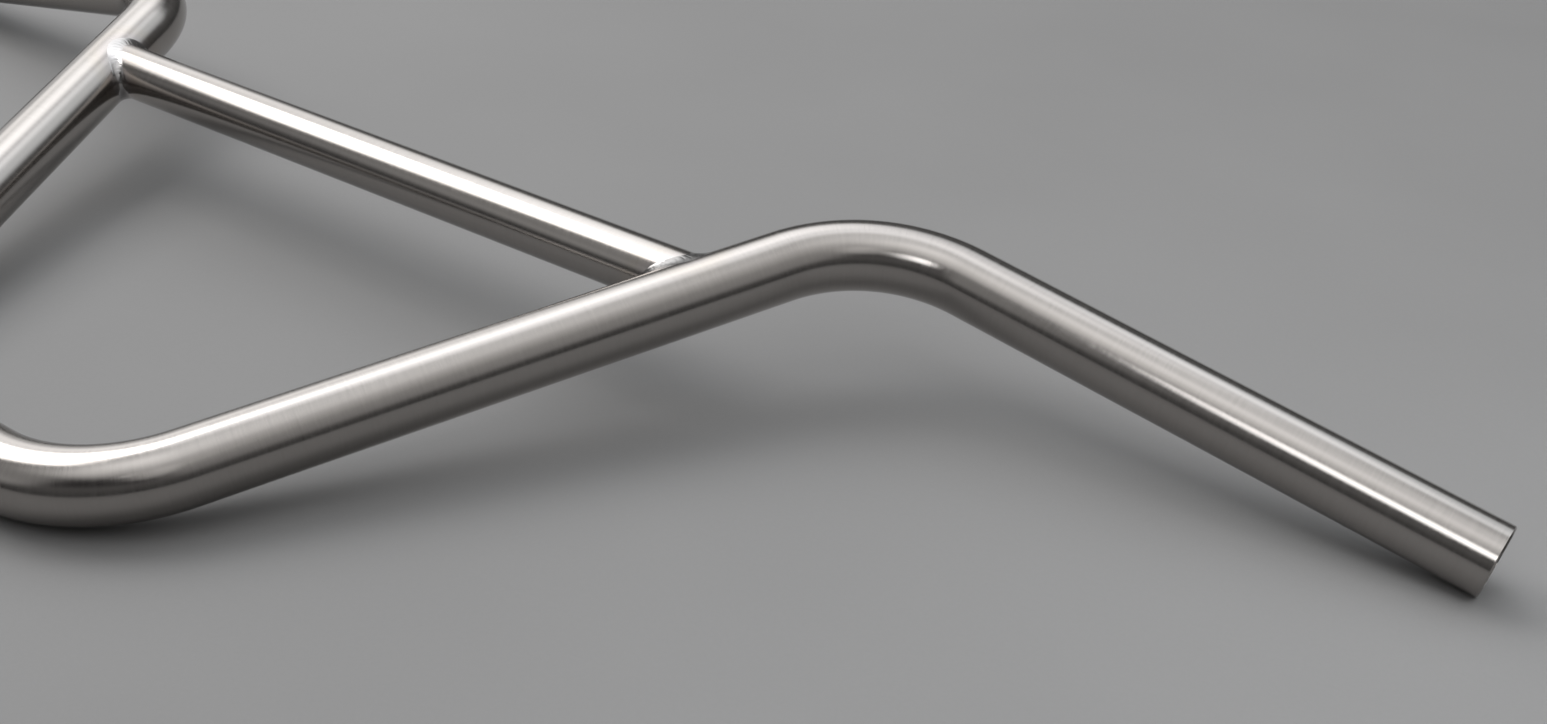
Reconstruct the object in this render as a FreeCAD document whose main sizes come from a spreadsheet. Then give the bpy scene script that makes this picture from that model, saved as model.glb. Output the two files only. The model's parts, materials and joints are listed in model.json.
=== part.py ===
import FreeCAD, Part
import bisect
import math
import os

import Sketcher

# A bmx handlebar: a bent main tube, and a straight crossbar mitred and welded between its uprights.
# Each tube is drawn in the plane of the uprights: X runs across the bar, Y up the bar from the clamp,
# and Z out of its front. The finished bar is then tipped about X to lie on its clamp flat and its two ends.
# The origin is the middle of the clamp flat, on the axis of the tube.

# Driving sizes, in millimetres and degrees
SIZES = (
    ("bar_width", "736.6", "across the centres of the two tube ends"),
    ("bar_rise", "222.25", "from the clamp axis up to the centres of the tube ends"),
    ("tube_diameter", "22.2", "outside of the main tube"),
    ("tube_wall", "2", "wall of the main tube"),
    ("clamp_flat", "54.5", "straight length that a stem grips"),
    ("lower_bend_radius", "50", "centreline radius of the bends beside the clamp flat"),
    ("knee_bend_radius", "53", "centreline radius of the bends at the top of the uprights"),
    ("upright_angle", "64.6", "slope of the uprights from the clamp axis"),
    ("backsweep", "9.5", "how far the grips lean back out of the plane of the uprights"),
    ("upsweep", "-1.1", "how far the grips climb towards their ends"),
    ("end_break", "0.4", "chamfer round the outer rim of each tube end"),
    ("crossbar_diameter", "19.05", "outside of the crossbar"),
    ("crossbar_wall", "1.2", "wall of the crossbar"),
    ("crossbar_height", "172", "from the clamp axis up to the axis of the crossbar"),
    ("mitre_gap", "0.1", "fit-up gap between a mitred crossbar end and the upright"),
    ("vent_diameter", "5", "hole in each upright that lets gas out of the crossbar during welding"),
    ("bead_leg", "3.4", "how far a weld bead spreads over each tube from the root of the joint"),
    ("bead_swell", "0.4", "how far the face of a weld bead would swell over a joint with no corner"),
    ("bead_hollow", "0.4", "share of a corner's depth by which the face sinks into that corner"),
    ("bead_ripple", "1.9", "distance from one drop of a weld bead to the next"),
    ("ripple_depth", "0.12", "how far the face dips between two drops"),
)

# Sizes that follow from the driving ones. The corner is where the axes of an upright and a grip would meet.
WORKED = (
    ("tube_radius", "Sizes.tube_diameter / 2", "outside radius of the main tube"),
    ("crossbar_radius", "Sizes.crossbar_diameter / 2", "outside radius of the crossbar"),
    ("grip_x", "cos(Sizes.backsweep) * cos(Sizes.upsweep)", "share of a grip's run that goes across"),
    ("grip_y", "cos(Sizes.backsweep) * sin(Sizes.upsweep)", "share of it that goes up the bar"),
    ("grip_z", "-sin(Sizes.backsweep)", "share of it that goes to the front: negative, as it leans back"),
    ("knee_angle", "acos(cos(Sizes.backsweep) * cos(Sizes.upright_angle - Sizes.upsweep))",
     "turn of a knee bend"),
    ("half_turn", "180 deg", "roll that makes the tube bend the other way"),
    ("knee_roll", "half_turn + atan2(sin(Sizes.backsweep); cos(Sizes.backsweep) * sin(Sizes.upright_angle"
     " - Sizes.upsweep))", "turn of the tube about itself between its two bends"),
    ("knee_tangent", "Sizes.knee_bend_radius * tan(knee_angle / 2)", "from a knee bend's end to the corner"),
    ("bend_across", "Sizes.lower_bend_radius * sin(Sizes.upright_angle)", "width of a lower bend"),
    ("bend_up", "Sizes.lower_bend_radius * (1 - cos(Sizes.upright_angle))", "height of a lower bend"),
    ("across", "(Sizes.bar_width - Sizes.clamp_flat) / 2 - bend_across",
     "from a lower bend out to a tube end"),
    ("climb", "Sizes.bar_rise - bend_up", "from a lower bend up to a tube end"),
    ("spread", "sin(Sizes.upright_angle) * grip_x - cos(Sizes.upright_angle) * grip_y",
     "sine between the runs"),
    ("up_to_corner", "(climb * grip_x - across * grip_y) / spread", "from a lower bend to the corner"),
    ("corner_to_end", "(sin(Sizes.upright_angle) * across - cos(Sizes.upright_angle) * climb) / spread",
     "from the corner to the tube end"),
    ("upright_length", "up_to_corner - knee_tangent", "straight length of an upright"),
    ("grip_length", "corner_to_end - knee_tangent", "straight length of a grip"),
    ("crossbar_run", "(Sizes.crossbar_height - bend_up) / sin(Sizes.upright_angle)",
     "up an upright to the joint"),
    ("joint_x", "Sizes.clamp_flat / 2 + bend_across + crossbar_run * cos(Sizes.upright_angle)",
     "from the middle of the bar to the axis of an upright at the joint"),
    ("mitre_radius", "tube_radius + Sizes.mitre_gap", "radius of a mitre in the crossbar"),
    ("rim_y", "Sizes.bar_rise - Sizes.end_break * grip_y", "height of an end rim's widest circle"),
    ("rim_drop", "(Sizes.end_break - corner_to_end) * grip_z", "how far that circle lies behind the uprights"),
    ("rim_slope", "atan2(rim_drop; rim_y)", "slope from the clamp axis to that circle's centre"),
    ("rim_dip", "grip_y * sin(rim_slope) + grip_z * cos(rim_slope)", "share of a grip's run that goes down"),
    ("rim_lift", "tube_radius * (1 - sqrt(1 - rim_dip ^ 2))", "rise of a slanted rim's lowest point"),
    ("lie_angle", "rim_slope - asin(rim_lift / hypot(rim_y; rim_drop))", "tip that sets clamp and rims level"),
)

doc = FreeCAD.newDocument("bmx_handlebar")


def add_sheet(name, rows, formula):
    """A sheet with one named value on each row: its alias, its number or formula, and what it is."""
    sheet = doc.addObject("Spreadsheet::Sheet", name)
    for row, (alias, value, meaning) in enumerate(rows, start=1):
        sheet.set("A%d" % row, alias)
        sheet.set("B%d" % row, "=" + value if formula else value)
        sheet.set("C%d" % row, meaning)
        sheet.setAlias("B%d" % row, alias)
    doc.recompute()
    return sheet


sizes = add_sheet("Sizes", SIZES, formula=False)
worked = add_sheet("Worked", WORKED, formula=True)


def size(alias):
    """The present number of a driving size or of one that follows from it."""
    sheet = sizes if hasattr(sizes, alias) else worked
    value = getattr(sheet, alias)
    return float(getattr(value, "Value", value))


# Helpers for tubes

FULL_TURN = 360
NEAR = 1e-4
ACROSS = FreeCAD.Vector(1, 0, 0)
ALONG = (0, 0, 1)
SIDEWAYS = (0, 1, 0)

# A sketch is first drawn at a draft size, and its constraints then bring it to its real one.
# ROOT is the sketch's own origin, H_AXIS its X axis, and the rest are the points of a line or a circle.
DRAFT = 1
ROOT, H_AXIS = -1, -1
START, END, CENTRE = 1, 2, 3


def tube_body(name):
    """An empty body that is tipped with the rest of the bar."""
    body = doc.addObject("PartDesign::Body", name)
    body.Label = name
    body.Placement = FreeCAD.Placement(FreeCAD.Vector(), FreeCAD.Rotation(ACROSS, FULL_TURN / 4))
    body.setExpression("Placement.Rotation.Angle", "Worked.lie_angle")
    return body


def origin_plane(body, role):
    """One of the body's own origin planes."""
    return next(feature for feature in body.Origin.OriginFeatures if feature.Role == role)


def place(item, support, mode, offset, turn_axis, turn):
    """Attach a sketch or a coordinate system, with its offset and its turn bound to the sheets."""
    item.AttachmentSupport = [(support, "")]
    item.MapMode = mode
    turned = FreeCAD.Rotation(FreeCAD.Vector(*turn_axis), FULL_TURN / 4)
    item.AttachmentOffset = FreeCAD.Placement(FreeCAD.Vector(), turned)
    item.setExpression("AttachmentOffset.Rotation.Angle", turn)
    for letter, formula in offset.items():
        item.setExpression("AttachmentOffset.Base." + letter, formula)


def station(body, name, support, offset, turn_axis=ALONG, turn="0"):
    """A coordinate system whose Z runs along the tube, set off from an earlier one or from an origin plane."""
    frame = body.newObject("PartDesign::CoordinateSystem", name)
    place(frame, support, "ObjectXY", offset, turn_axis, turn)
    return frame


def bind(sketch, constraint, label, formula):
    """Add a constraint with a name, and tie its value to the sheets."""
    sketch.renameConstraint(sketch.addConstraint(constraint), label)
    sketch.setExpression("Constraints." + label, formula)


def ring(body, name, support, mode, outside, inside, offset, off_axis=None):
    """A sketch of a tube's section: two circles about one centre, which may lie off the axis of a bend."""
    sketch = body.newObject("Sketcher::SketchObject", name)
    place(sketch, support, mode, offset, ALONG, "0")
    for circle, (label, formula) in enumerate((("outside", outside), ("inside", inside))):
        draft_radius = DRAFT / (circle + 1)
        draft = Part.Circle(FreeCAD.Vector(DRAFT, 0, 0), FreeCAD.Vector(*ALONG), draft_radius)
        sketch.addGeometry(draft, False)
        bind(sketch, Sketcher.Constraint("Radius", circle, draft_radius), label, formula)
    sketch.addConstraint(Sketcher.Constraint("Coincident", 0, CENTRE, 1, CENTRE))
    if off_axis:
        sketch.addConstraint(Sketcher.Constraint("PointOnObject", 0, CENTRE, H_AXIS))
        bind(sketch, Sketcher.Constraint("DistanceX", ROOT, START, 0, CENTRE, DRAFT), "off_axis", off_axis)
    else:
        sketch.addConstraint(Sketcher.Constraint("Coincident", 0, CENTRE, ROOT, START))
    return sketch


MAIN_OUTSIDE = "Worked.tube_radius"
MAIN_INSIDE = "Worked.tube_radius - Sizes.tube_wall"


def straight(body, name, frame, length):
    """A straight run of the main tube. Returns the feature and the station at its far end."""
    section = ring(body, name + "_section", frame, "ObjectXY", MAIN_OUTSIDE, MAIN_INSIDE, {})
    pad = body.newObject("PartDesign::Pad", name)
    pad.Profile = section
    pad.setExpression("Length", length)
    return pad, station(body, name + "_end", frame, {"z": length})


def bend(body, name, frame, roll, radius, angle):
    """A bend of the main tube, after a roll about itself. Returns the feature and the station at its far end."""
    rolled = station(body, name + "_roll", frame, {}, turn=roll)
    section = ring(body, name + "_section", rolled, "ObjectXY", MAIN_OUTSIDE, MAIN_INSIDE,
                   {"x": "-" + radius}, off_axis=radius)
    turn = body.newObject("PartDesign::Revolution", name)
    turn.Profile = section
    turn.ReferenceAxis = (section, ["V_Axis"])
    turn.Reversed = True
    turn.setExpression("Angle", angle)
    offset = {"x": "-%s * (1 - cos(%s))" % (radius, angle), "z": "%s * sin(%s)" % (radius, angle)}
    return turn, station(body, name + "_end", rolled, offset, SIDEWAYS, "-" + angle)


# Main tube: half of it is laid out as a tube bender works, by length, roll and angle, and then mirrored

main_tube = tube_body("main_tube")
middle_plane = origin_plane(main_tube, "YZ_Plane")

clamp_section = ring(main_tube, "clamp_section", middle_plane, "FlatFace", MAIN_OUTSIDE, MAIN_INSIDE, {})
clamp = main_tube.newObject("PartDesign::Pad", "clamp")
clamp.Profile = clamp_section
clamp.SideType = "Symmetric"
clamp.setExpression("Length", "Sizes.clamp_flat")
clamp_end = station(main_tube, "clamp_end", middle_plane, {"z": "Sizes.clamp_flat / 2"})

lower_bend, bend_end = bend(main_tube, "lower_bend", clamp_end, "Worked.half_turn", "Sizes.lower_bend_radius",
                            "Sizes.upright_angle")
upright, upright_end = straight(main_tube, "upright", bend_end, "Worked.upright_length")
knee, knee_end = bend(main_tube, "knee", upright_end, "Worked.knee_roll", "Sizes.knee_bend_radius",
                      "Worked.knee_angle")
grip, grip_end = straight(main_tube, "grip", knee_end, "Worked.grip_length")

# Vent: a hole from inside each upright into the crossbar, under the joint

vent_circle = main_tube.newObject("Sketcher::SketchObject", "vent_circle")
place(vent_circle, middle_plane, "FlatFace", {"x": "Sizes.crossbar_height", "z": "Worked.joint_x"}, ALONG, "0")
vent_circle.addGeometry(Part.Circle(FreeCAD.Vector(), FreeCAD.Vector(*ALONG), DRAFT), False)
vent_circle.addConstraint(Sketcher.Constraint("Coincident", 0, CENTRE, ROOT, START))
bind(vent_circle, Sketcher.Constraint("Diameter", 0, 2 * DRAFT), "bore", "Sizes.vent_diameter")
vent = main_tube.newObject("PartDesign::Pocket", "vent")
vent.Profile = vent_circle
vent.setExpression("Length", "(Worked.tube_radius + Sizes.vent_diameter) / sin(Sizes.upright_angle)")

other_side = main_tube.newObject("PartDesign::Mirrored", "other_side")
other_side.Originals = [lower_bend, upright, knee, grip, vent]
other_side.MirrorPlane = (middle_plane, [""])
main_tube.Tip = other_side
doc.recompute()


def rim_edges(shape):
    """Names of the outer edges of the tube ends: circles as wide as the tube, centred where a grip ends."""
    end_z = size("corner_to_end") * size("grip_z")
    ends = [FreeCAD.Vector(side * size("bar_width") / 2, size("bar_rise"), end_z) for side in (-1, 1)]
    names = []
    for number, edge in enumerate(shape.Edges, start=1):
        round_edge = isinstance(edge.Curve, Part.Circle)
        if round_edge and abs(edge.Curve.Radius - size("tube_radius")) < NEAR:
            if min(edge.Curve.Center.distanceToPoint(end) for end in ends) < NEAR:
                names.append("Edge%d" % number)
    return names


rims = main_tube.newObject("PartDesign::Chamfer", "rims")
rims.Base = (other_side, rim_edges(other_side.Shape))
rims.setExpression("Size", "Sizes.end_break")
main_tube.Tip = rims

# Crossbar: a straight tube, mitred at both ends round the axes of the uprights

crossbar = tube_body("crossbar")
crossbar_middle = origin_plane(crossbar, "YZ_Plane")
crossbar_section = ring(crossbar, "crossbar_section", crossbar_middle, "FlatFace", "Worked.crossbar_radius",
                        "Worked.crossbar_radius - Sizes.crossbar_wall", {"x": "Sizes.crossbar_height"})
crossbar_tube = crossbar.newObject("PartDesign::Pad", "crossbar_tube")
crossbar_tube.Profile = crossbar_section
crossbar_tube.SideType = "Symmetric"
crossbar_tube.setExpression("Length", "2 * Worked.joint_x")

mitre_outline = crossbar.newObject("Sketcher::SketchObject", "mitre_outline")
place(mitre_outline, origin_plane(crossbar, "XY_Plane"), "FlatFace",
      {"x": "Worked.joint_x", "y": "Sizes.crossbar_height"}, ALONG, "Sizes.upright_angle")
corners = [FreeCAD.Vector(x * DRAFT, y * DRAFT, 0) for x, y in ((-1, 0), (1, 0), (1, 1), (-1, 1))]
for line, (first, second) in enumerate(zip(corners, corners[1:] + corners[:1])):
    mitre_outline.addGeometry(Part.LineSegment(first, second), False)
    mitre_outline.addConstraint(Sketcher.Constraint("Vertical" if line % 2 else "Horizontal", line))
for line in range(len(corners)):
    mitre_outline.addConstraint(Sketcher.Constraint("Coincident", line, END, (line + 1) % len(corners), START))
mitre_outline.addConstraint(Sketcher.Constraint("Symmetric", 0, START, 0, END, ROOT, START))
bind(mitre_outline, Sketcher.Constraint("DistanceX", 0, START, 0, END, 2 * DRAFT), "run",
     "2 * (Sizes.crossbar_diameter + Sizes.tube_diameter)")
bind(mitre_outline, Sketcher.Constraint("DistanceY", 1, START, 1, END, DRAFT), "radius", "Worked.mitre_radius")
mitre = crossbar.newObject("PartDesign::Groove", "mitre")
mitre.Profile = mitre_outline
mitre.ReferenceAxis = (mitre_outline, ["H_Axis"])
mitre.Angle = FULL_TURN
other_mitre = crossbar.newObject("PartDesign::Mirrored", "other_mitre")
other_mitre.Originals = [mitre]
other_mitre.MirrorPlane = (crossbar_middle, [""])
crossbar.Tip = other_mitre
doc.recompute()

# Weld beads: weld metal along the root where the crossbar meets an upright. Its face is hollow in a sharp
# corner, swells a little in an open one, and dips between the drops in which the metal was laid.

SLOPE = math.radians(size("upright_angle"))
UP_THE_TUBE = FreeCAD.Vector(math.cos(SLOPE), math.sin(SLOPE), 0)
JOINT = FreeCAD.Vector(size("joint_x"), size("crossbar_height"), 0)
ROOT_SAMPLES = 360
POLES_A_DROP = 4
FACE_SHARES = (-1.15, -1, -0.5, 0, 0.5, 1, 1.15)
CUBIC = 3


def root_point(turn):
    """The root at an angle round the crossbar, and the outward normals of crossbar and upright there."""
    small = size("crossbar_radius")
    chord = math.sqrt(size("tube_radius") ** 2 - (small * math.sin(turn)) ** 2)
    inward = (chord - small * math.cos(turn) * math.cos(SLOPE)) / math.sin(SLOPE)
    from_crossbar = FreeCAD.Vector(0, math.cos(turn), math.sin(turn))
    point = JOINT - ACROSS * inward + from_crossbar * small
    from_upright = point - JOINT - UP_THE_TUBE * UP_THE_TUBE.dot(point - JOINT)
    return point, from_crossbar, from_upright.normalize()


def even_turns(drop_length):
    """Angles round the crossbar that share the root out into whole drops, with a few poles to each drop."""
    turns = [2 * math.pi * k / ROOT_SAMPLES for k in range(ROOT_SAMPLES + 1)]
    roots = [root_point(turn)[0] for turn in turns]
    travel = [0.0]
    for before, after in zip(roots, roots[1:]):
        travel.append(travel[-1] + after.distanceToPoint(before))
    count = POLES_A_DROP * round(travel[-1] / drop_length)
    even = []
    for k in range(count):
        goal = travel[-1] * k / count
        sample = bisect.bisect_right(travel, goal) - 1
        part = (goal - travel[sample]) / (travel[sample + 1] - travel[sample])
        even.append(turns[sample] + part * (turns[sample + 1] - turns[sample]))
    return even


def over_tube(point, normal, axis, radius, heading):
    """Where a walk of one bead leg over a tube ends: some of it goes along the tube and the rest round it."""
    leg = size("bead_leg")
    along = axis * axis.dot(heading)
    around = heading - along
    turn = max(NEAR, leg * around.Length / radius)
    return point + (along + around * (math.sin(turn) / turn)) * leg - normal * (radius * (1 - math.cos(turn)))


def bead_section(turn, dip):
    """Poles of the bead's section at an angle round the crossbar: its face from one tube to the other, and a
    way back inside the tubes."""
    point, from_crossbar, from_upright = root_point(turn)
    lean = from_crossbar.dot(from_upright)
    over_crossbar = (from_upright - from_crossbar * lean).normalize()
    over_upright = (from_crossbar - from_upright * lean).normalize()
    first = over_tube(point, from_crossbar, ACROSS, size("crossbar_radius"), over_crossbar)
    last = over_tube(point, from_upright, UP_THE_TUBE, size("tube_radius"), over_upright)
    middle, half = (first + last) / 2, (last - first) / 2
    corner = point - middle
    inward = FreeCAD.Vector(corner).normalize()
    sink = size("bead_hollow") * corner.Length - size("bead_swell")
    face = [middle + half * share + inward * ((sink + dip) * (1 - share ** 2)) for share in FACE_SHARES]
    return [face[0] + corner] + face + [face[-1] + corner, point + corner]


def weld_bead():
    """The bead at the joint on the +X side: a closed skin round the root, hollowed by both tubes."""
    turns = even_turns(size("bead_ripple"))
    dips = [0 if k % POLES_A_DROP else size("ripple_depth") for k in range(len(turns))]
    sections = [bead_section(turn, dip) for turn, dip in zip(turns, dips)]
    round_knots = list(range(len(sections) + 1))
    across_knots = list(range(len(sections[0]) + 1))
    skin = Part.BSplineSurface()
    skin.buildFromPolesMultsKnots(sections, [1] * len(round_knots), [1] * len(across_knots),
                                  round_knots, across_knots, True, True, CUBIC, CUBIC)
    half_way = len(sections) // 2
    halves = []
    for start, end in ((0, half_way), (half_way, len(sections))):
        half = skin.copy()
        half.segment(start, end, across_knots[0], across_knots[-1])
        halves.append(half.toShape())
    metal = Part.Solid(Part.Shell(halves))
    reach = size("tube_diameter") + size("crossbar_diameter")
    upright_core = Part.makeCylinder(size("tube_radius"), 2 * reach, JOINT - UP_THE_TUBE * reach, UP_THE_TUBE)
    crossbar_core = Part.makeCylinder(size("crossbar_radius"), reach, JOINT - ACROSS * reach, ACROSS)
    return metal.cut(upright_core).cut(crossbar_core).Solids[0]


def add_bead(name, shape, half_turns):
    """A weld bead as an object of its own, turned about Y to its side of the bar and tipped with the rest."""
    bead = doc.addObject("Part::Feature", name)
    bead.Label = name
    bead.Shape = shape
    turned = FreeCAD.Rotation(FreeCAD.Vector(*SIDEWAYS), half_turns * FULL_TURN / 2)
    bead.Placement = FreeCAD.Placement(FreeCAD.Vector(), FreeCAD.Rotation(ACROSS, size("lie_angle")) * turned)
    return bead


# A bead has the same front and back, so half a turn makes the right one into the left one.
bead_shape = weld_bead()
right_bead = add_bead("right_weld_bead", bead_shape, 0)
left_bead = add_bead("left_weld_bead", bead_shape, 1)
doc.recompute()

# Each object has to be sound, and each cut has to have taken metal away, before anything is written

for item in doc.Objects:
    if "Invalid" in item.State or "Error" in item.State:
        raise RuntimeError("%s failed to build" % item.Name)
for cutting in (vent, mitre, other_mitre):
    if cutting.Shape.Volume >= cutting.BaseFeature.Shape.Volume:
        raise RuntimeError("%s cuts nothing" % cutting.Name)

os.makedirs("parts", exist_ok=True)
for piece in (main_tube, crossbar, left_bead, right_bead):
    if piece.Shape.isNull() or not piece.Shape.isValid() or len(piece.Shape.Solids) != 1:
        raise RuntimeError("%s is not one sound solid" % piece.Label)
    piece.Shape.exportStep("parts/%s.step" % piece.Label)
    print("%s: %.0f cubic mm, %d faces" % (piece.Label, piece.Shape.Volume, len(piece.Shape.Faces)))
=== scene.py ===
# %% [markdown]
# A handlebar with a crossbar, lying on a studio floor. The real bar is one long metal tube, bent four
# times, with a second, thinner tube welded across its two uprights. The metal is bare, and it was brushed
# round the tube, so it has a satin shine. The frame holds the exact solids of the four pieces. This lesson
# puts a finer surface in place of each one, gives it its brushed finish, and lights it as a studio does.
# The frame comes first, and its box is kept, because no surface may grow the bar.

# %% Load the frame
import json
import math

import bpy
import numpy as np
from mathutils import Matrix, Vector


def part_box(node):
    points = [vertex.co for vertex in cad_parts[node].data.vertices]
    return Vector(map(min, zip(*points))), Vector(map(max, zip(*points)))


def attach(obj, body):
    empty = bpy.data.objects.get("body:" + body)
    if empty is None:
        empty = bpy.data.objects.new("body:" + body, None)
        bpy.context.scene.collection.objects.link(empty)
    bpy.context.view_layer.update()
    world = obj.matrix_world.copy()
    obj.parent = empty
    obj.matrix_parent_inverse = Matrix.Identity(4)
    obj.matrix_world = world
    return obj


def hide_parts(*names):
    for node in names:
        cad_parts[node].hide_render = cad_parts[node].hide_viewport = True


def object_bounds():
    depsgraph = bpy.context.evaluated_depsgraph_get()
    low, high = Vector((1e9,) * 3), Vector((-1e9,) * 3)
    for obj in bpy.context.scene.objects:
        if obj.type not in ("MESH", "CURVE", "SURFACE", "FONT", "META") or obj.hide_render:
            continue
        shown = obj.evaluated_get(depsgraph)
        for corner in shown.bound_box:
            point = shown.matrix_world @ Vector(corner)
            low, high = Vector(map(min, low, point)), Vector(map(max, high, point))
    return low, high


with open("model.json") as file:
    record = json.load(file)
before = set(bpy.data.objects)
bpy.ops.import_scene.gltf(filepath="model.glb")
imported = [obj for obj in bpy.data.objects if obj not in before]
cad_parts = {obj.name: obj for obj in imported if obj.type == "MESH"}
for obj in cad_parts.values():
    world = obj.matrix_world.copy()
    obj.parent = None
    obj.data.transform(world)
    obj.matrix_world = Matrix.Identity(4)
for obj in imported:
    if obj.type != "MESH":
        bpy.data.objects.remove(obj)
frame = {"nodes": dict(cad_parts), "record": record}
cad_box = [list(corner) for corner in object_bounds()]
print("frame pieces:", sorted(frame["nodes"]), "box:", np.round(cad_box, 4).tolist())

# %% [markdown]
# A tube bender works from a few numbers: the tube's diameter, the straight lengths, the bends and their
# radius. The frame's mounts already give most of them: how wide the tube is, how long the clamp's flat is,
# and where each grip points and ends. So the bar is worked out from the mounts, and only what the mounts
# leave open, such as the slope of the uprights, is written here. The bar lies tipped back on its grips, so
# the sizes are kept in the bar's own upright plane, and one turn about X lays the whole bar down.

# %% Sizes of the tubes, in metres
MM = 0.001
UPRIGHT_SLOPE = math.radians(64.6)
KNEE_RADIUS = 53 * MM
END_BREAK = 0.4 * MM
CROSSBAR_WALL = 1.2 * MM
MITRE_GAP = 0.1 * MM

mounts = {mount["name"]: mount for mount in frame["record"]["mounts"]}
tube_radius = mounts["stem_clamp"]["dims"]["r_mm"] * MM
bore_radius = mounts["right_end_bore"]["dims"]["r_mm"] * MM
clamp_half = mounts["stem_clamp"]["dims"]["length_mm"] * MM / 2

crossbar_low, crossbar_high = (np.array(corner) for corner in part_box("crossbar"))
crossbar_middle = (crossbar_low + crossbar_high) / 2
crossbar_height = math.hypot(crossbar_middle[1], crossbar_middle[2])
crossbar_radius = (crossbar_high[2] - crossbar_low[2]) / 2
lie_angle = math.atan2(crossbar_middle[2], crossbar_middle[1])
print("tube radius", tube_radius, "crossbar radius", round(crossbar_radius, 6))
print("lie angle", round(math.degrees(lie_angle), 3), "crossbar height", round(crossbar_height, 5))

# %% Turn points between the bar's own plane and the frame
to_frame = np.array(Matrix.Rotation(lie_angle, 3, "X"))
MIRROR = np.array([-1.0, 1.0, 1.0])


def lay_down(points):
    """Points of the upright bar, turned about X by the lie angle into the frame."""
    return points @ to_frame.T


def unit(vectors):
    """Each vector divided by its own length."""
    return vectors / np.linalg.norm(vectors, axis=-1, keepdims=True)


print("up the bar points to", np.round(to_frame[:, 1], 4).tolist(), "in the frame")

# %% [markdown]
# The centre line is straight, bent, straight, bent, straight on each side. The grip's line, carried back
# from its end until it meets the bar's plane, gives the knee's corner. From there the upright runs down at
# its slope to the clamp's line, and that gives the lower corner. A bend is an arc that touches the two
# lines of its corner. Curves with a bevel would also make a tube, but then the bends would only be near
# to true arcs, and a long reflection shows each small error, so the arcs are worked out exactly. From just
# below the joint up to the knee the stations lie close together, because the heat tint changes there.

# %% Corners of the bent tube
grip = mounts["right_end_bore"]
grip_axis = np.array(grip["axis"])
bore_half = grip["dims"]["length_mm"] * MM / 2
grip_end = (np.array(grip["pos_m"]) + grip_axis * bore_half) @ to_frame
grip_along = grip_axis @ to_frame
knee_corner = grip_end - grip_along * grip_end[2] / grip_along[2]
up_the_tube = np.array([math.cos(UPRIGHT_SLOPE), math.sin(UPRIGHT_SLOPE), 0.0])
lower_corner = knee_corner - up_the_tube * knee_corner[1] / up_the_tube[1]
across = np.array([1.0, 0.0, 0.0])
lower_radius = (lower_corner[0] - clamp_half) / math.tan(UPRIGHT_SLOPE / 2)
joint = lower_corner + up_the_tube * crossbar_height / up_the_tube[1]
print("lower bend radius", round(lower_radius / MM, 3), "mm, joint at", np.round(joint / MM, 3), "mm")

# %% Centre line of the bent tube
BEND_STEP = math.radians(1.25)
BELOW_JOINT = 32 * MM
JOINT_STEP = 1.0 * MM
RUN_STEP = 12 * MM


def run(start, end, step):
    """Points of a straight run at about one step apart, and its direction at each."""
    count = int(np.ceil(np.linalg.norm(end - start) / step)) + 1
    points = start + np.linspace(0, 1, count)[:, None] * (end - start)
    return points, np.broadcast_to(unit(end - start), points.shape)


def bend(corner, before, after, radius):
    """Arc that touches the line into a corner and the line out of it: a circle about the centre in their
    plane, turned from one direction to the other."""
    angle = math.acos(before @ after)
    side = unit(after - before * (before @ after))
    centre = corner - before * radius * math.tan(angle / 2) + side * radius
    turn = np.linspace(0, angle, int(np.ceil(angle / BEND_STEP)) + 1)[:, None]
    points = centre + radius * (np.sin(turn) * before - np.cos(turn) * side)
    return points, np.cos(turn) * before + np.sin(turn) * side


def join(pieces):
    """Runs and bends end to end, with each shared point kept once."""
    points = [pieces[0][0]] + [piece[0][1:] for piece in pieces[1:]]
    along = [pieces[0][1]] + [piece[1][1:] for piece in pieces[1:]]
    return np.concatenate(points), np.concatenate(along)


lower_bend = bend(lower_corner, across, up_the_tube, lower_radius)
knee_bend = bend(knee_corner, up_the_tube, grip_along, KNEE_RADIUS)
tint_start = joint - up_the_tube * BELOW_JOINT
right_half = [
    run(np.zeros(3), lower_bend[0][0], RUN_STEP),
    lower_bend,
    run(lower_bend[0][-1], tint_start, RUN_STEP),
    run(tint_start, knee_bend[0][0], JOINT_STEP),
    knee_bend,
    run(knee_bend[0][-1], grip_end, RUN_STEP),
]
half_points, half_along = join(right_half)
bar_points = np.concatenate([half_points[:0:-1] * MIRROR, half_points])
bar_along = np.concatenate([half_along[:0:-1] * -MIRROR, half_along])
print(len(bar_points), "stations, bar width", round(np.ptp(bar_points[:, 0]) / MM, 2), "mm")

# %% [markdown]
# Every piece is a closed grid: rows of points, each row a closed ring, and the last row joined to the
# first. One helper turns such a grid into a mesh. It checks the volume that the faces enclose, because a
# negative volume means that they point inwards, and then the order of each face is turned round. Each
# point also carries numbers that a finish reads later, such as its place along and round its tube.

# %% From a closed grid to a mesh
SHARP_ANGLE = math.radians(30)
QUAD_CORNERS = 4


def enclosed_volume(points, quads):
    """A sixth of the sum of the boxes spanned by each triangle's three corners, seen from the origin."""
    a, b, c, d = (points[quads[:, k]] for k in range(QUAD_CORNERS))
    return (np.einsum("ij,ij->", a, np.cross(b, c)) + np.einsum("ij,ij->", a, np.cross(c, d))) / 6


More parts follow.
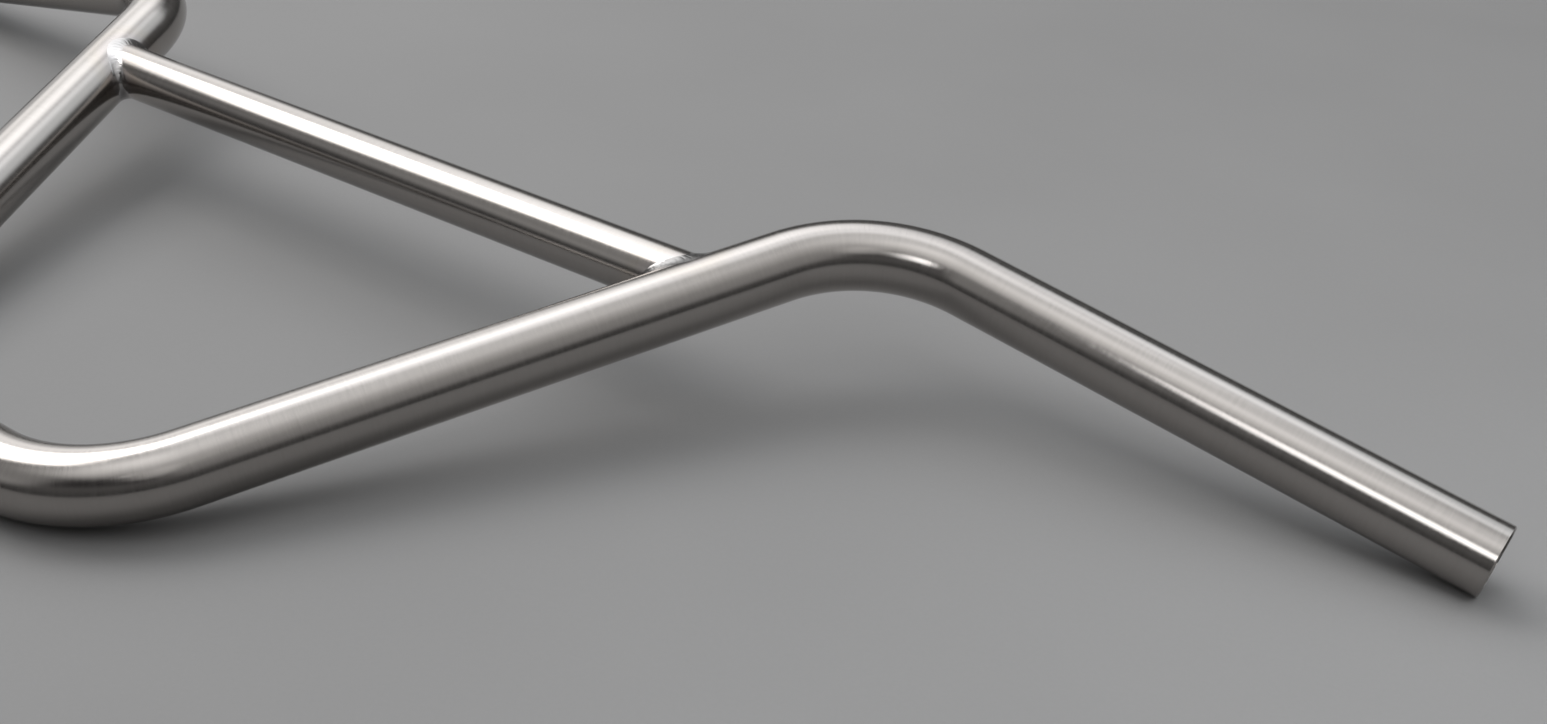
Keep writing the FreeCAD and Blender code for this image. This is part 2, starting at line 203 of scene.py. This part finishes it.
def grid_piece(name, rows, attributes):
    """Mesh of points rows[i, j] in which both directions close: point (i, j) makes a face with its next
    neighbours in i and j."""
    count_i, count_j = rows.shape[:2]
    i, j = np.meshgrid(np.arange(count_i), np.arange(count_j), indexing="ij")
    next_i, next_j = (i + 1) % count_i, (j + 1) % count_j
    corners = [i * count_j + j, next_i * count_j + j, next_i * count_j + next_j, i * count_j + next_j]
    quads = np.stack(corners, axis=-1).reshape(-1, QUAD_CORNERS)
    points = rows.reshape(-1, 3)
    volume = enclosed_volume(points, quads)
    if volume < 0:
        quads = quads[:, ::-1]
    mesh = bpy.data.meshes.new(name)
    mesh.vertices.add(len(points))
    mesh.vertices.foreach_set("co", points.ravel())
    mesh.loops.add(quads.size)
    mesh.loops.foreach_set("vertex_index", quads.ravel())
    mesh.polygons.add(len(quads))
    mesh.polygons.foreach_set("loop_start", np.arange(0, quads.size, QUAD_CORNERS))
    mesh.polygons.foreach_set("use_smooth", np.ones(len(quads), bool))
    mesh.update(calc_edges=True)
    mesh.set_sharp_from_angle(angle=SHARP_ANGLE)
    for label, values in attributes.items():
        kind, field = ("FLOAT", "value") if values.ndim == 2 else ("FLOAT_VECTOR", "vector")
        mesh.attributes.new(label, kind, "POINT").data.foreach_set(field, values.ravel())
    piece = bpy.data.objects.new(name, mesh)
    bpy.context.scene.collection.objects.link(piece)
    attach(piece, "root")
    print(name, 2 * len(quads), "triangles,", round(abs(volume) / MM**3), "cubic mm")
    return piece


# %% [markdown]
# Where the two tubes meet, the weld's root is the curve in which the crossbar's surface cuts the
# upright's. At each angle round the crossbar, the point's distance from the upright's centre line has to
# be the upright's radius, and that gives one square root. The same formula with other radii gives the
# crossbar's mitred ends, inside and outside. The heat of the weld coloured the metal near this curve, so
# every point also keeps its distance from it.

# %% The weld's root
ROOT_SAMPLES = 180
FAR_FROM_WELD = 40 * MM


def inward(turn, small, large):
    """How far from the joint, along the crossbar, a cylinder of the small radius meets the large one."""
    chord = np.sqrt(large**2 - (small * np.sin(turn)) ** 2)
    return (chord - small * np.cos(turn) * math.cos(UPRIGHT_SLOPE)) / math.sin(UPRIGHT_SLOPE)


def round_crossbar(turn, small):
    """Points of a circle of that radius about the crossbar's line, at x = 0 of the joint."""
    return np.stack([np.zeros_like(turn), small * np.cos(turn), small * np.sin(turn)], axis=-1)


def root_points(turn):
    """The root curve on the +X side at angles round the crossbar."""
    back = inward(turn, crossbar_radius, tube_radius)[:, None]
    return joint + round_crossbar(turn, crossbar_radius) - across * back


root = root_points(np.linspace(0, 2 * math.pi, ROOT_SAMPLES, endpoint=False))


def from_weld(rows):
    """Each point's distance from the nearer root curve, cut off where the heat no longer shows."""
    near_side = np.abs(rows) * [1, 0, 0] + rows * [0, 1, 1]
    distance = np.full(rows.shape[:2], FAR_FROM_WELD)
    close = np.linalg.norm(near_side - joint, axis=-1) < FAR_FROM_WELD
    gaps = np.linalg.norm(near_side[close][:, None] - root, axis=-1).min(axis=1)
    distance[close] = np.minimum(gaps, FAR_FROM_WELD)
    return distance


print("root curve", round(np.linalg.norm(np.diff(root, axis=0), axis=1).sum() / MM, 1), "mm long")

# %% [markdown]
# The main tube is a ring carried along the centre line. The outer rings run from the left end to the
# right one, and the rings of the bore run back, so the wall has its real thickness and both ends are
# open. At each end the outer edge is broken by a small chamfer, as the cutter leaves it.

# %% The main tube
AROUND = 96

turns = np.linspace(0, 2 * math.pi, AROUND, endpoint=False)
inset = np.zeros(len(bar_points))
inset[0], inset[-1] = END_BREAK, -END_BREAK
outer_points = bar_points + bar_along * inset[:, None]
rings = np.concatenate([bar_points[:1], outer_points, bar_points[-1:], bar_points[::-1]])
ring_along = np.concatenate([bar_along[:1], bar_along, bar_along[-1:], bar_along[::-1]])
ring_radius = np.full(len(rings), bore_radius)
ring_radius[1 : len(bar_points) + 1] = tube_radius
ring_radius[[0, len(bar_points) + 1]] = tube_radius - END_BREAK

front = np.array([0.0, 0.0, 1.0])
toward_front = unit(front - ring_along * (ring_along @ front)[:, None])
toward_side = np.cross(ring_along, toward_front)
cosine, sine = np.cos(turns)[:, None], np.sin(turns)[:, None]
spoke = cosine * toward_front[:, None] + sine * toward_side[:, None]
tube_rows = rings[:, None] + ring_radius[:, None, None] * spoke

travel = np.concatenate([[0], np.linalg.norm(np.diff(rings, axis=0), axis=1).cumsum()])
tube_lay = np.stack(np.broadcast_arrays(
    travel[:, None], tube_radius * np.cos(turns), tube_radius * np.sin(turns)), axis=-1)
main_tube = grid_piece(
    "brushed_main_tube", lay_down(tube_rows),
    {"lay": tube_lay, "from_weld": from_weld(tube_rows)})
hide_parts("main_tube")

# %% [markdown]
# The crossbar is a straight tube whose ends are cut to saddle the uprights. Its rings are not flat: at
# each angle the ends lie where the mitre formula says, and the points between are shared out along that
# line, closer together near the ends where the heat tint changes quickly.

# %% The crossbar
ALONG_CROSSBAR = 121
END_CROWDING = 0.85

share = np.linspace(-1, 1, ALONG_CROSSBAR)
share = (1 - END_CROWDING) * share + END_CROWDING * np.sin(share * math.pi / 2)
inner_radius = crossbar_radius - CROSSBAR_WALL


def crossbar_wall(small):
    """Rings of one wall: x is a share of the way to the mitre at that angle, y and z are a circle."""
    reach = joint[0] - inward(turns, small, tube_radius + MITRE_GAP)
    rows = np.broadcast_to(round_crossbar(turns, small), (ALONG_CROSSBAR, AROUND, 3)).copy()
    rows[..., 0] = share[:, None] * reach
    rows[..., 1] += crossbar_height
    return rows


crossbar_rows = np.concatenate([crossbar_wall(crossbar_radius), crossbar_wall(inner_radius)[::-1]])
crossbar_lay = crossbar_rows - [0, crossbar_height, 0]
crossbar = grid_piece(
    "brushed_crossbar", lay_down(crossbar_rows),
    {"lay": crossbar_lay, "from_weld": from_weld(crossbar_rows)})
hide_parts("crossbar")

# %% [markdown]
# A hand weld is laid down drop by drop, and each drop freezes before the next one covers a part of it. The
# metal ran into the corner and wetted both tubes, so the weld's face is hollow where the corner is sharp,
# and almost flat at the sides of the joint, where it is open. Each section is a parabola between two toes,
# and a toe is found by a walk of one leg from the root over a tube. Faint dips follow each other at the
# welder's step, bowed into crescents and uneven in depth. They are clearest on the crossbar, which is thin
# and so took more heat. They are part of the mesh, because a bump alone would leave the weld's edge
# straight. The face runs on past the toes and dips just under both tubes, so that no gap shows.

# %% Toes of the weld bead
BEAD_LEG = 2.8 * MM
DROP_STEP = 1.9 * MM
POINTS_A_DROP = 14
SMALLEST_TURN = 1e-6
FINE_SAMPLES = 3600
UNIT_RADIUS = 1.0

fine_turns = np.linspace(0, 2 * math.pi, FINE_SAMPLES)
fine_root = root_points(fine_turns)
root_travel = np.concatenate([[0], np.linalg.norm(np.diff(fine_root, axis=0), axis=1).cumsum()])
drops = round(root_travel[-1] / DROP_STEP)
bead_share = np.arange(drops * POINTS_A_DROP) / (drops * POINTS_A_DROP)
bead_turns = np.interp(bead_share * root_travel[-1], root_travel, fine_turns)
bead_root = root_points(bead_turns)
from_crossbar = round_crossbar(bead_turns, UNIT_RADIUS)
offset = bead_root - joint
from_upright = unit(offset - (offset @ up_the_tube)[:, None] * up_the_tube)
lean = np.sum(from_crossbar * from_upright, axis=-1, keepdims=True)


def toe(normal, axis, radius, heading):
    """Where a walk of one leg from the root ends: its share along the tube is straight, and the rest is an
    arc of the tube's radius."""
    along = (heading @ axis)[:, None] * axis
    around = heading - along
    turn = np.maximum(SMALLEST_TURN, BEAD_LEG * np.linalg.norm(around, axis=-1, keepdims=True) / radius)
    walk = (along + around * np.sin(turn) / turn) * BEAD_LEG
    return bead_root + walk - normal * radius * (1 - np.cos(turn))


crossbar_toe = toe(from_crossbar, across, crossbar_radius, unit(from_upright - lean * from_crossbar))
upright_toe = toe(from_upright, up_the_tube, tube_radius, unit(from_crossbar - lean * from_upright))
print(drops, "drops in the bead")

# %% Hollow face of the weld bead
BEAD_HOLLOW = 0.4
BEAD_SWELL = 0.22 * MM
ACROSS_BEAD = 29
TOE_DIP = 1.12
RIPPLE_DEPTH = 0.09 * MM
RIPPLE_BOW = 0.6
RIPPLE_POWER = 3
DROP_UNEVEN = 0.35
DROP_JITTER = 0.16
SCALLOP = 0.12
MID_RIPPLE = 0.5

middle = (crossbar_toe + upright_toe) / 2
half_face = (upright_toe - crossbar_toe) / 2
corner_depth = np.linalg.norm(bead_root - middle, axis=-1, keepdims=True)
into_corner = (bead_root - middle) / corner_depth
sink = BEAD_HOLLOW * corner_depth - BEAD_SWELL


def bead_rows(seed):
    """From toe to toe, s from -1 to 1: the chord's point plus (sink + dip) times (1 - s squared) into the
    corner. The dip is |2f - 1| to a power, where f is how far through its drop a point is, after a bow that
    grows with s squared. It fades from the crossbar's toe to the upright's, and it also waves the toe."""
    chance = np.random.default_rng(seed)
    depth = RIPPLE_DEPTH * (1 + DROP_UNEVEN * chance.uniform(-1, 1, drops))
    shift = DROP_JITTER * chance.uniform(-1, 1, drops)
    to_toe = np.linspace(-TOE_DIP, TOE_DIP, ACROSS_BEAD)
    place = bead_share * drops
    place = place + np.interp(place, np.arange(drops + 1), np.append(shift, shift[0]))
    phase = place[:, None] - RIPPLE_BOW * to_toe**2
    drop = np.floor(phase).astype(int) % drops
    ripple = np.abs(2 * (phase % 1) - 1) ** RIPPLE_POWER
    fade = (1 - to_toe) / 2
    way = to_toe * (1 + SCALLOP * fade * (MID_RIPPLE - ripple))
    inset = (sink + depth[drop] * ripple * fade) * (1 - way**2)
    rows = middle[:, None] + way[..., None] * half_face[:, None] + inset[..., None] * into_corner[:, None]
    return np.concatenate([rows, bead_root[:, None]], axis=1)


print("the face sinks by", np.round([sink.min() / MM, sink.max() / MM], 2).tolist(), "mm")

# %% The two weld beads
BEAD_SEEDS = {"right": 11, "left": 23}

beads = []
for side, seed in BEAD_SEEDS.items():
    rows = bead_rows(seed)
    if side == "left":
        rows = rows * MIRROR
    bead = grid_piece(side + "_rippled_bead", lay_down(rows), {"from_weld": from_weld(rows)})
    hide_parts(side + "_weld_bead")
    beads.append(bead)

# %% [markdown]
# A finish is a tree of nodes. Wiring each Math node by hand makes long code that hides the formula, so a
# small class stands for a value on its way through the tree, and plus, minus, times and divided by on it
# add the Math node. Any other node comes from one method that first sets the node's own settings and then
# its sockets, each with a number or with another node's value.

# %% Write finishes as expressions
OPAQUE = 1.0
ONE_BLOT_A_UNIT = 1.0
NOISE_DETAIL = 2.0
NOISE_ROUGHNESS = 0.5
MID_NOISE = 0.5


def pick(sockets, key):
    """A socket by its place in the list or by its identifier."""
    if isinstance(key, int):
        return sockets[key]
    return next(socket for socket in sockets if socket.identifier == key)


class Feed:
    """A value on its way through a node tree."""

    def __init__(self, finish, socket):
        self.finish = finish
        self.socket = socket

    def __add__(self, other):
        return self.finish.math("ADD", self, other)

    def __radd__(self, other):
        return self.finish.math("ADD", other, self)

    def __sub__(self, other):
        return self.finish.math("SUBTRACT", self, other)

    def __rsub__(self, other):
        return self.finish.math("SUBTRACT", other, self)

    def __mul__(self, other):
        return self.finish.math("MULTIPLY", self, other)

    def __rmul__(self, other):
        return self.finish.math("MULTIPLY", other, self)

    def __truediv__(self, other):
        return self.finish.math("DIVIDE", self, other)

    def __rtruediv__(self, other):
        return self.finish.math("DIVIDE", other, self)


class Finish:
    """The node tree of a material or of the world, with one method that adds any node."""

    def __init__(self, owner):
        owner.use_nodes = True
        self.tree = owner.node_tree
        self.tree.nodes.clear()

    def node(self, kind, settings, sockets, output=0):
        """Adds a node, sets its settings and then its sockets, and gives back one of its outputs."""
        made = self.tree.nodes.new(kind)
        for setting, value in settings.items():
            if setting == "stops":
                self.set_stops(made.color_ramp, value)
            else:
                setattr(made, setting, value)
        for key, value in sockets.items():
            socket = pick(made.inputs, key)
            if isinstance(value, Feed):
                self.tree.links.new(value.socket, socket)
            else:
                socket.default_value = value
        return Feed(self, pick(made.outputs, output)) if made.outputs else made

    def set_stops(self, ramp, stops):
        """Places a ramp's stops, each a position and a colour."""
        while len(ramp.elements) < len(stops):
            ramp.elements.new(stops[-1][0])
        for element, (position, colour) in zip(ramp.elements, stops):
            element.position = position
            element.color = (*colour, OPAQUE)

    def math(self, operation, *values):
        """A Math node on two values."""
        return self.node("ShaderNodeMath", {"operation": operation}, dict(enumerate(values)))

    def vector(self, operation, *values, output=0):
        """A Vector Math node on vectors or colours."""
        return self.node("ShaderNodeVectorMath", {"operation": operation}, dict(enumerate(values)), output)

    def noise(self, coordinates, detail=NOISE_DETAIL):
        """Noise of about one blot a unit, from 0 to 1."""
        return self.node(
            "ShaderNodeTexNoise", {},
            {
                "Vector": coordinates,
                "Scale": ONE_BLOT_A_UNIT,
                "Detail": detail,
                "Roughness": NOISE_ROUGHNESS,
            })

    def blend(self, share, first, second):
        """A colour between two others."""
        return self.node(
            "ShaderNodeMix", {"data_type": "RGBA"},
            {"Factor_Float": share, "A_Color": first, "B_Color": second}, "Result_Color")


# %% [markdown]
# Brushed metal is a mirror with countless fine grooves. Here an abrasive belt went round the tube, so the
# grooves run round it and a reflection is smeared along the tube. The noise that makes them is stretched:
# about a millimetre or less along the tube, and many millimetres round it. It reads each point's own place
# along and round its tube, so the grooves follow the bends. It tilts the surface a little, which smears
# the light, and it varies the roughness and the tone, which is what makes single lines show. Slow clouds
# stand for handling, and a faint straw and blue tint marks the heat beside the welds.

# %% Brushed finish of the tubes
BARE_METAL = 1.0
METAL = (0.385, 0.362, 0.344, 1.0)
METAL_DULL = (0.305, 0.288, 0.273, 1.0)
FINE_GROOVE = (1 / (0.35 * MM), 1 / (9 * MM), 1 / (9 * MM))
BROAD_GROOVE = (1 / (1.2 * MM), 1 / (16 * MM), 1 / (16 * MM))
CLOUD = (1 / (14 * MM),) * 3
FINE_SHARE = 0.65
GROOVE_HEIGHT = 0.018 * MM
TUBE_ROUGHNESS = 0.18
GROOVE_ROUGHNESS = 0.2
CLOUD_ROUGHNESS = 0.05
HEAT_REACH = 12 * MM
HEAT_STOPS = [
    (0.0, (0.95, 0.975, 1.0)),
    (0.35, (0.99, 0.975, 0.985)),
    (0.6, (1.0, 0.985, 0.955)),
    (1.0, (1.0, 1.0, 1.0)),
]


def heat_tint(finish):
    """A colour to multiply by, from the point's distance to the weld."""
    gap = finish.node("ShaderNodeAttribute", {"attribute_name": "from_weld"}, {}, "Fac")
    return finish.node("ShaderNodeValToRGB", {"stops": HEAT_STOPS}, {"Fac": gap / HEAT_REACH})


def brushed_metal(name):
    """Metal with grooves round the tube: they drive tone, roughness and a small bump."""
    material = bpy.data.materials.new(name)
    finish = Finish(material)
    lay = finish.node("ShaderNodeAttribute", {"attribute_name": "lay"}, {}, "Vector")
    fine = finish.noise(finish.vector("MULTIPLY", lay, FINE_GROOVE))
    broad = finish.noise(finish.vector("MULTIPLY", lay, BROAD_GROOVE))
    cloud = finish.noise(finish.vector("MULTIPLY", lay, CLOUD))
    groove = fine * FINE_SHARE + broad * (1 - FINE_SHARE)
    tone = finish.blend(groove, METAL_DULL, METAL)
    tone = finish.vector("MULTIPLY", tone, heat_tint(finish))
    roughness = TUBE_ROUGHNESS + (groove - MID_NOISE) * GROOVE_ROUGHNESS
    roughness = roughness + (cloud - MID_NOISE) * CLOUD_ROUGHNESS
    normal = finish.node("ShaderNodeBump", {}, {"Distance": GROOVE_HEIGHT, "Height": groove})
    shader = finish.node(
        "ShaderNodeBsdfPrincipled", {},
        {
            "Base Color": tone,
            "Metallic": BARE_METAL,
            "Roughness": roughness,
            "Normal": normal,
        })
    finish.node("ShaderNodeOutputMaterial", {}, {"Surface": shader})
    return material


tube_finish = brushed_metal("brushed_round_the_tube")
main_tube.data.materials.append(tube_finish)
crossbar.data.materials.append(tube_finish)
print("brushed finish:", len(tube_finish.node_tree.nodes), "nodes")

# %% [markdown]
# The weld was never brushed. It froze smooth and bright, so it is a little paler than the tubes, with
# only a fine skin of frost and the blue and straw of the heat.

# %% Finish of the weld beads
WELD_BRIGHT = (0.40, 0.385, 0.372, 1.0)
WELD_GREY = (0.32, 0.308, 0.30, 1.0)
FROST = (1 / (0.35 * MM),) * 3
WELD_CLOUD = (1 / (3 * MM),) * 3
PATCH_DETAIL = 1.0
FROST_HEIGHT = 0.012 * MM
WELD_ROUGHNESS = 0.2
FROST_ROUGHNESS = 0.12

weld_finish = bpy.data.materials.new("rippled_weld")
weld = Finish(weld_finish)
place = weld.node("ShaderNodeTexCoord", {}, {}, "Object")
frost = weld.noise(weld.vector("MULTIPLY", place, FROST))
patch = weld.noise(weld.vector("MULTIPLY", place, WELD_CLOUD), PATCH_DETAIL)
weld_tone = weld.vector("MULTIPLY", weld.blend(patch, WELD_GREY, WELD_BRIGHT), heat_tint(weld))
weld_shader = weld.node(
    "ShaderNodeBsdfPrincipled", {},
    {
        "Base Color": weld_tone,
        "Metallic": BARE_METAL,
        "Roughness": WELD_ROUGHNESS + (frost - MID_NOISE) * FROST_ROUGHNESS,
        "Normal": weld.node("ShaderNodeBump", {}, {"Distance": FROST_HEIGHT, "Height": frost}),
    })
weld.node("ShaderNodeOutputMaterial", {}, {"Surface": weld_shader})
for bead in beads:
    bead.data.materials.append(weld_finish)
print("weld finish:", len(weld_finish.node_tree.nodes), "nodes")

# %% [markdown]
# The bar lies on plain grey paper. The floor is one large face just under the clamp's flat and the ends of
# the grips, the three places where the bar touches it. A soft mottle and a fine grain keep the paper from
# looking like a flat fill.

# %% Studio floor
FLOOR_HALF = 10.0
PAPER_ROUGHNESS = 0.9
PAPER_GLOSS = 0.1
FLOOR_GREY = (0.221, 0.219, 0.218, 1.0)
FLOOR_PALE = (0.258, 0.256, 0.255, 1.0)
PAPER_MOTTLE = (1 / (150 * MM),) * 3
PAPER_GRAIN = (1 / (1.2 * MM),) * 3
MOTTLE_DETAIL = 3.0
GRAIN_SHARE = 0.25

floor_mesh = bpy.data.meshes.new("studio_floor")
floor_corners = np.array([[-1, -1, 0], [1, -1, 0], [1, 1, 0], [-1, 1, 0]]) * FLOOR_HALF
floor_corners[:, 2] = cad_box[0][2]
floor_mesh.from_pydata(floor_corners.tolist(), [], [[0, 1, 2, 3]])
floor = bpy.data.objects.new("studio_floor", floor_mesh)
bpy.context.scene.collection.objects.link(floor)

floor_finish = bpy.data.materials.new("grey_paper")
paper = Finish(floor_finish)
where = paper.node("ShaderNodeTexCoord", {}, {}, "Object")
mottle = paper.noise(paper.vector("MULTIPLY", where, PAPER_MOTTLE), MOTTLE_DETAIL)
grain = paper.noise(paper.vector("MULTIPLY", where, PAPER_GRAIN))
shade = mottle * (1 - GRAIN_SHARE) + grain * GRAIN_SHARE
paper_shader = paper.node(
    "ShaderNodeBsdfPrincipled", {},
    {
        "Base Color": paper.blend(shade, FLOOR_GREY, FLOOR_PALE),
        "Roughness": PAPER_ROUGHNESS,
        "Specular IOR Level": PAPER_GLOSS,
    })
paper.node("ShaderNodeOutputMaterial", {}, {"Surface": paper_shader})
floor.data.materials.append(floor_finish)
print("floor at z =", round(floor_corners[0, 2], 5))

# %% [markdown]
# On metal the light is the picture: a tube shows the whole room, squeezed into stripes. A large softbox
# stands to the left of the bar. It makes the white stripes and the soft shadows, and a dim one below it
# softens its lower edge. A narrow strip stands behind the camera and draws the thin bright line along the
# grip. It has a grid in front, which keeps its light on the grip, and a lamp's spread does the same here. A
# dim fill with a grid of its own lifts the paper on the right. It is kept out of the reflections, because
# on the tube it would draw one more stripe.

# %% Lamps
BAR_MIDDLE = Vector((0.12, 0.14, 0.02))
GRIP_MIDDLE = Vector((0.30, 0.22, 0.01))
RIGHT_PAPER = Vector((0.62, 0.11, -0.01))
WARM_WHITE = (1.0, 0.99, 0.98)
COOL_WHITE = (0.98, 0.99, 1.0)
PALE_BLUE = (0.94, 0.97, 1.0)
ALL_ROUND = 180


def toward(azimuth, elevation):
    """Unit vector of a direction: azimuth from +Y towards +X, elevation above the floor, in degrees."""
    a, e = math.radians(azimuth), math.radians(elevation)
    return Vector((math.sin(a) * math.cos(e), math.cos(a) * math.cos(e), math.sin(e)))


def softbox(name, aim, azimuth, elevation, distance, size, radiance, colour,
            spread=ALL_ROUND, reflected=True):
    """A rectangular lamp that faces its aim; its power is radiance times area times pi."""
    lamp = bpy.data.lights.new(name, "AREA")
    lamp.shape = "RECTANGLE"
    lamp.size, lamp.size_y = size
    lamp.energy = radiance * size[0] * size[1] * math.pi
    lamp.color = colour
    lamp.spread = math.radians(spread)
    stand = bpy.data.objects.new(name, lamp)
    direction = toward(azimuth, elevation)
    stand.location = aim + direction * distance
    stand.rotation_euler = direction.to_track_quat("Z", "Y").to_euler()
    stand.visible_camera = False
    stand.visible_glossy = reflected
    bpy.context.scene.collection.objects.link(stand)
    print(name, "at", np.round(stand.location, 3).tolist(), "power", round(lamp.energy, 2))


softbox(
    "key_softbox", BAR_MIDDLE, azimuth=-97, elevation=47, distance=1.5, size=(0.9, 0.8),
    radiance=4.0, colour=WARM_WHITE)
softbox(
    "low_softbox", BAR_MIDDLE, azimuth=-105, elevation=33, distance=1.5, size=(0.7, 0.35),
    radiance=0.4, colour=WARM_WHITE)
softbox(
    "right_fill", RIGHT_PAPER, azimuth=120, elevation=60, distance=0.8, size=(0.55, 0.45),
    radiance=0.42, colour=PALE_BLUE, spread=40, reflected=False)
softbox(
    "grip_strip", GRIP_MIDDLE, azimuth=174, elevation=40, distance=0.62, size=(0.28, 0.16),
    radiance=0.2, colour=COOL_WHITE, spread=40)

# %% [markdown]
# The rest of the room is the world, described by direction only. It is palest overhead and dim along the
# walls, with a faint band low down. Soft lobes are added to it, each a pale patch of wall: the strong ones
# are on the left and on the far side, where the softbox lights the walls, and the weak ones are on the
# right and behind the camera. A picture of a real studio could stand here instead, but a few lobes can be
# moved one at a time until each stripe on the tube lies where it should.

# %% The room as a world
STRAIGHT_UP = (0.0, 0.0, 1.0)
# The height of a direction, from 0 at the horizon to 1 overhead, and the light there.
DOME_STOPS = [
    (0.0, (0.06, 0.06, 0.06)),
    (0.34, (0.16, 0.16, 0.16)),
    (0.5, (0.04, 0.04, 0.04)),
    (0.64, (0.05, 0.05, 0.05)),
    (0.77, (0.27, 0.27, 0.27)),
    (0.88, (0.54, 0.545, 0.55)),
    (0.956, (1.03, 1.04, 1.05)),
    (1.0, (1.44, 1.46, 1.48)),
]
# Azimuth, elevation, inner and outer angle, all in degrees, and the light that the lobe adds.
WALL_LOBES = [
    (-60, 42, 14, 30, (1.44, 1.45, 1.45)),
    (-67, 15, 8, 24, (0.7, 0.7, 0.7)),
    (-34, 54, 12, 30, (1.04, 1.07, 1.11)),
    (-52, 62, 6, 20, (0.49, 0.5, 0.52)),
    (12, 43, 8, 24, (1.23, 1.29, 1.34)),
    (98, 48, 12, 38, (0.46, 0.46, 0.46)),
    (175, 64, 8, 24, (0.55, 0.55, 0.55)),
    (-155, 66, 6, 24, (0.3, 0.3, 0.3)),
    (-148, 32, 10, 27, (0.38, 0.38, 0.38)),
    (136, 42, 4, 15, (0.5, 0.5, 0.5)),
]

world = bpy.data.worlds.new("studio_room")
bpy.context.scene.world = world
room = Finish(world)
direction = room.node("ShaderNodeTexCoord", {}, {}, "Generated")
height = room.vector("DOT_PRODUCT", direction, STRAIGHT_UP, output="Value")


def rise(value, low, high):
    """A smooth step from 0 below low to 1 above high."""
    return room.node(
        "ShaderNodeMapRange", {"interpolation_type": "SMOOTHSTEP"},
        {"Value": value, "From Min": low, "From Max": high})


def lobe(azimuth, elevation, inner, outer):
    """1 within the inner angle of a direction and 0 beyond the outer one, in degrees."""
    near = room.vector("DOT_PRODUCT", direction, tuple(toward(azimuth, elevation)), output="Value")
    return rise(near, math.cos(math.radians(outer)), math.cos(math.radians(inner)))


room_light = room.node("ShaderNodeValToRGB", {"stops": DOME_STOPS}, {"Fac": height})
for azimuth, elevation, inner, outer, colour in WALL_LOBES:
    room_light = room.vector("MULTIPLY_ADD", lobe(azimuth, elevation, inner, outer), colour, room_light)
background = room.node("ShaderNodeBackground", {}, {"Color": room_light})
room.node("ShaderNodeOutputWorld", {}, {"Surface": background})
print("room:", len(world.node_tree.nodes), "nodes")

# %% [markdown]
# The camera was found by fitting the bent tube's outline to its edges in the picture. It stands close to
# the near knee, so the near grip looks large and the far side is cut off by the frame. The place and the
# three axes of that fit are set directly, which also keeps its slight tilt.

# %% Camera
CAMERA_PLACE = (0.423768, -0.221267, 0.276189)
CAMERA_RIGHT = (0.816058, 0.575332, 0.055165)
CAMERA_UP = (-0.323739, 0.375945, 0.868250)
CAMERA_BACK = (0.478793, -0.726401, 0.493051)
FOCAL_PIXELS = 1797.162
PICTURE_WIDTH = 1547
SENSOR_WIDTH = 36.0
NEAREST_SEEN = 10 * MM

lens = bpy.data.cameras.new("studio_camera")
lens.sensor_width = SENSOR_WIDTH
lens.lens = FOCAL_PIXELS / PICTURE_WIDTH * SENSOR_WIDTH
lens.clip_start = NEAREST_SEEN
camera = bpy.data.objects.new("studio_camera", lens)
axes = Matrix((CAMERA_RIGHT, CAMERA_UP, CAMERA_BACK)).transposed()
camera.matrix_world = Matrix.Translation(CAMERA_PLACE) @ axes.to_4x4()
bpy.context.scene.collection.objects.link(camera)
bpy.context.scene.camera = camera
bpy.context.scene.view_settings.view_transform = "Standard"
print("lens", round(lens.lens, 3), "mm")
